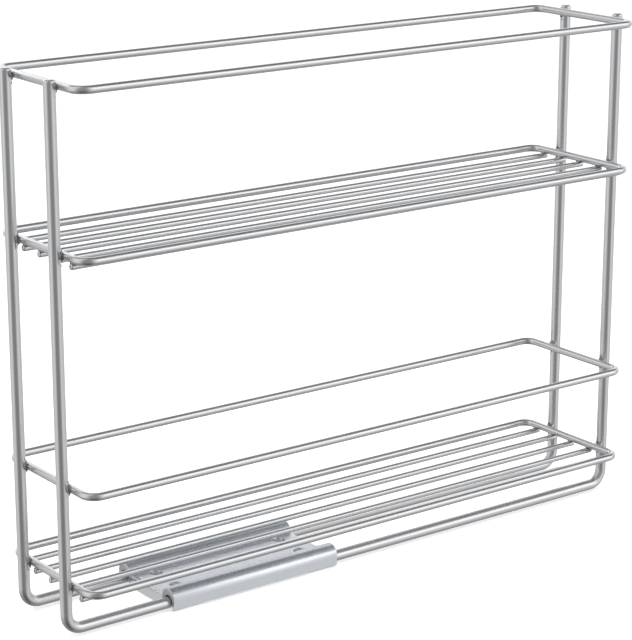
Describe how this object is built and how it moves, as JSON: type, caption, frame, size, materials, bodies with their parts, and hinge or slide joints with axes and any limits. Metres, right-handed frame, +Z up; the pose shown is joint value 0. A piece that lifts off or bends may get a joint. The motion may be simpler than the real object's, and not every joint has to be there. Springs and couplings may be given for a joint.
{
  "type": "pull-out wire rack",
  "caption": "Slim tiered pull-out wire rack for a kitchen cabinet: bent wire frames, wire shelves and rails, on a screw-down slide base.",
  "frame": {"origin": "on the cabinet floor, under the middle of the rack in its rest place", "axes": "+X along the rods, away from the pull-out end; +Y across the rack; +Z up"},
  "size_m": [0.488, 0.109, 0.3705],
  "materials": {
    "silver_wire": "satin silver coating over steel wire",
    "zinc_sheet": "satin bright zinc plating on pressed steel sheet",
    "grey_plastic": "moulded, matt light grey"
  },
  "bodies": {
    "slide_base": {"base_plate": "zinc_sheet", "bush_near_front": "grey_plastic", "bush_near_rear": "grey_plastic", "bush_far_front": "grey_plastic", "bush_far_rear": "grey_plastic"},
    "rack": {"near_frame": "silver_wire", "far_frame": "silver_wire", "top_ring": "silver_wire", "upper_shelf_rim": "silver_wire", "guard_ring": "silver_wire", "lower_shelf_rim": "silver_wire", "upper_slat_1": "silver_wire", "upper_slat_2": "silver_wire", "upper_slat_3": "silver_wire", "upper_slat_4": "silver_wire", "upper_slat_5": "silver_wire", "lower_slat_1": "silver_wire", "lower_slat_2": "silver_wire", "lower_slat_3": "silver_wire", "lower_slat_4": "silver_wire", "lower_slat_5": "silver_wire"}
  },
  "joints": [
    {"name": "rack_slide", "type": "slide", "parent": "slide_base", "child": "rack", "axis": [1, 0, 0], "range_m": [-0.25, 0.066]}
  ]
}
